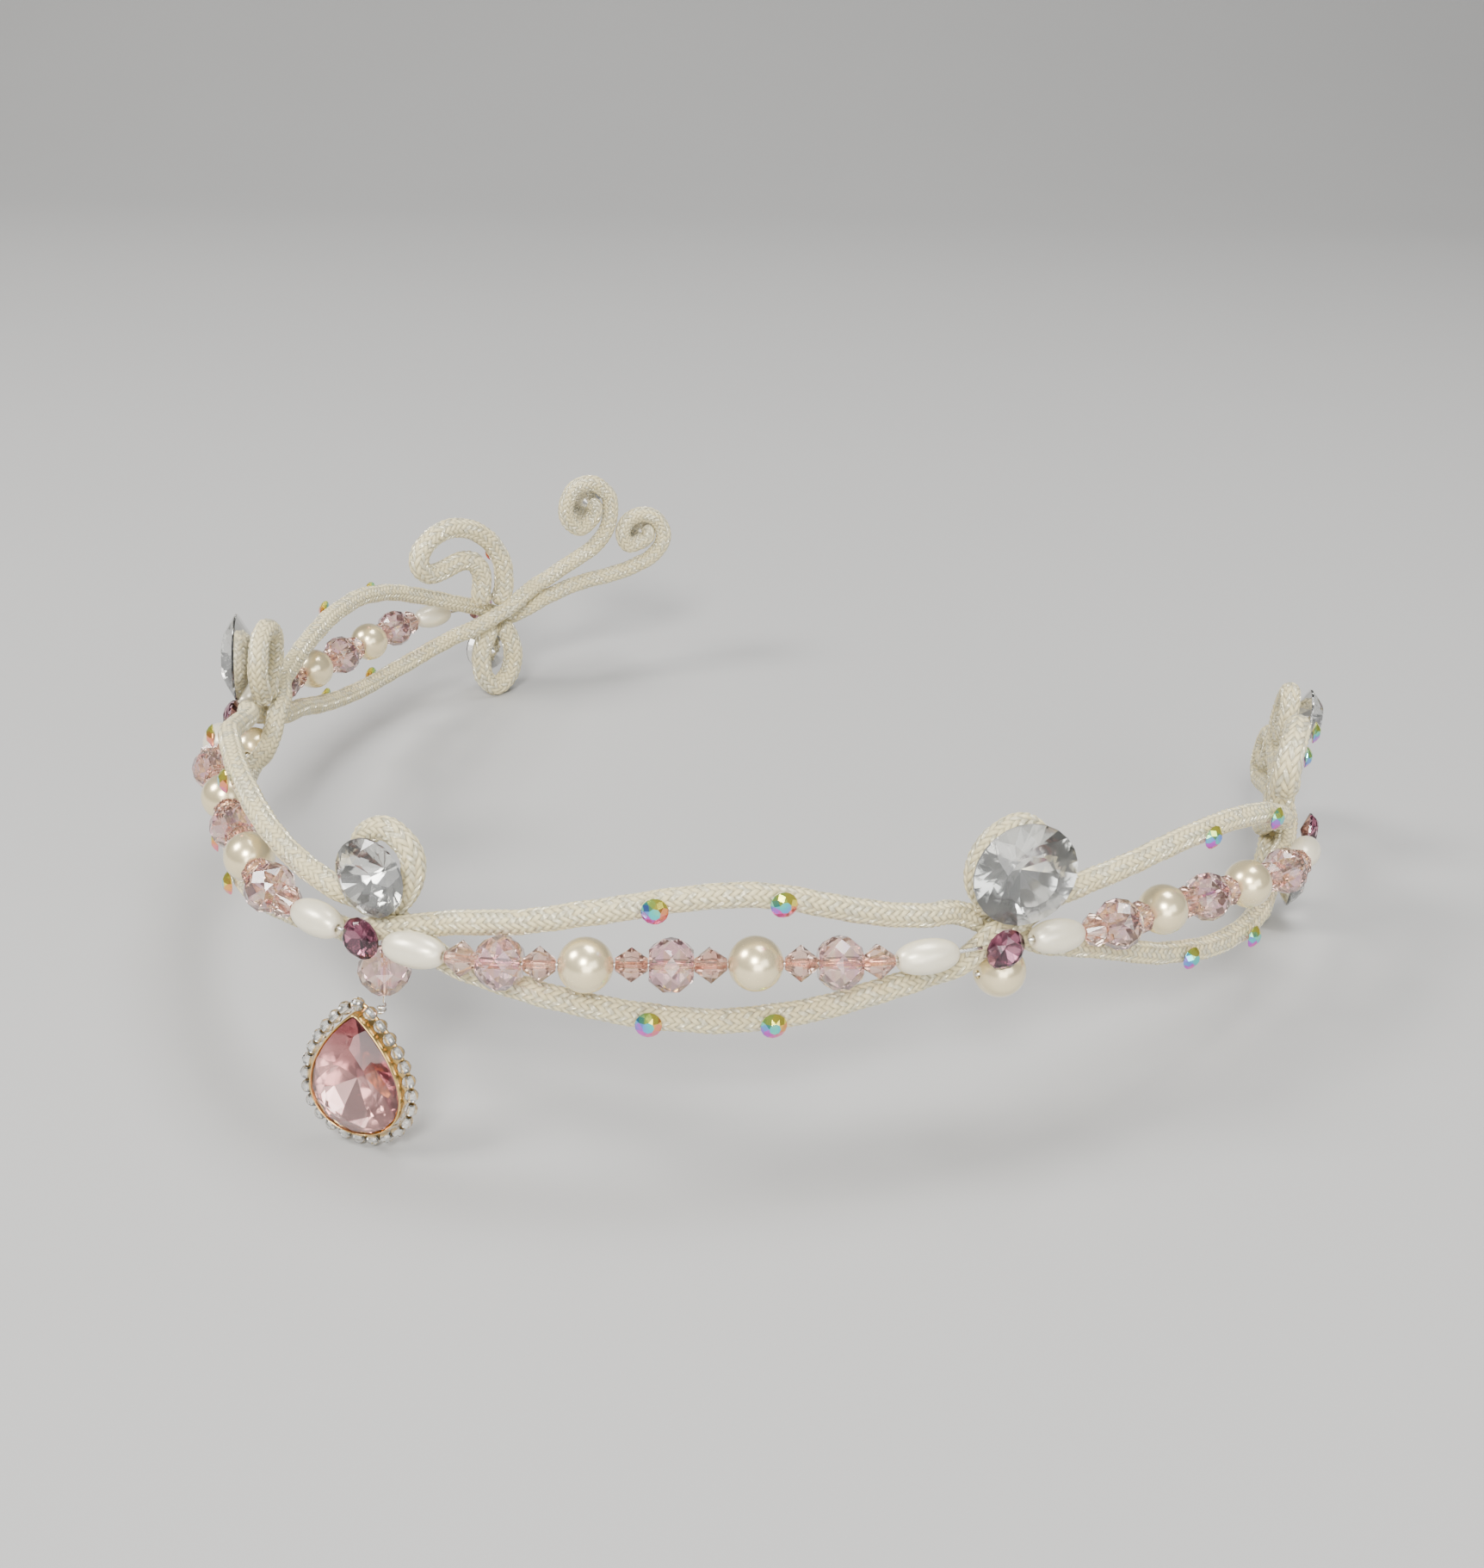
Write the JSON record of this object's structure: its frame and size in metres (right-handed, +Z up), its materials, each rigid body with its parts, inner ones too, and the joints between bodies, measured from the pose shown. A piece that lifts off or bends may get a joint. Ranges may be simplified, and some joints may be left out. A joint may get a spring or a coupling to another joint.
{
  "type": "forehead tiara",
  "caption": "Open circlet of two crossing braided cords with pearl and crystal strings between, set stones, curled ends and a pear pendant at the brow",
  "frame": {"origin": "centre of the bounding box on the surface that it stands on", "axes": "+Z up, -Y the way the brow pendant faces, +X to the right as the front is looked at from outside"},
  "size_m": [0.1556, 0.1412, 0.0398],
  "materials": {
    "braided_cord": "braided ivory and champagne lurex over wire",
    "strung_beads": "cream pearls, pink cut crystal",
    "pearl": "cream pearl lustre",
    "clear_stone": "clear cut glass with a foil back",
    "purple_stone": "plum cut glass with a foil back",
    "rainbow_stone": "rainbow coated cut glass with a foil back",
    "rose_stone": "rose cut glass with a foil back",
    "gold_setting": "polished gold colour",
    "clear_beads": "clear cut crystal beads"
  },
  "bodies": {
    "root": {"ab_stone_back_left_lower_1": "rainbow_stone", "ab_stone_back_left_lower_2": "rainbow_stone", "ab_stone_back_left_upper_1": "rainbow_stone", "ab_stone_back_left_upper_2": "rainbow_stone", "ab_stone_back_right_lower_1": "rainbow_stone", "ab_stone_back_right_lower_2": "rainbow_stone", "ab_stone_back_right_upper_1": "rainbow_stone", "ab_stone_back_right_upper_2": "rainbow_stone", "ab_stone_front_left_lower_1": "rainbow_stone", "ab_stone_front_left_lower_2": "rainbow_stone", "ab_stone_front_left_upper_1": "rainbow_stone", "ab_stone_front_left_upper_2": "rainbow_stone", "ab_stone_front_right_lower_1": "rainbow_stone", "ab_stone_front_right_lower_2": "rainbow_stone", "ab_stone_front_right_upper_1": "rainbow_stone", "ab_stone_front_right_upper_2": "rainbow_stone", "ab_stone_hook_left_1": "rainbow_stone", "ab_stone_hook_left_2": "rainbow_stone", "ab_stone_hook_right_1": "rainbow_stone", "ab_stone_hook_right_2": "rainbow_stone", "bead_string_back_left": "strung_beads", "bead_string_back_right": "strung_beads", "bead_string_front_left": "strung_beads", "bead_string_front_right": "strung_beads", "clear_stone_back_left": "clear_stone", "clear_stone_back_right": "clear_stone", "clear_stone_front": "clear_stone", "clear_stone_lower_scroll_left": "clear_stone", "clear_stone_lower_scroll_right": "clear_stone", "clear_stone_side_left": "clear_stone", "clear_stone_side_right": "clear_stone", "clear_stone_upper_scroll_left": "clear_stone", "clear_stone_upper_scroll_right": "clear_stone", "hook_loop_left": "braided_cord", "hook_loop_right": "braided_cord", "loop_front": "braided_cord", "loop_side_left": "braided_cord", "loop_side_right": "braided_cord", "low_loop_left": "braided_cord", "low_loop_right": "braided_cord", "main_cord_a": "braided_cord", "main_cord_b": "braided_cord", "pearl_side_left": "pearl", "pearl_side_right": "pearl", "pendant_bead_rim": "clear_beads", "pendant_drop_wire": "strung_beads", "pendant_setting": "gold_setting", "pendant_stone": "rose_stone", "purple_stone_back_left": "purple_stone", "purple_stone_back_right": "purple_stone", "purple_stone_front": "purple_stone", "purple_stone_side_left": "purple_stone", "purple_stone_side_right": "purple_stone"}
  },
  "joints": []
}
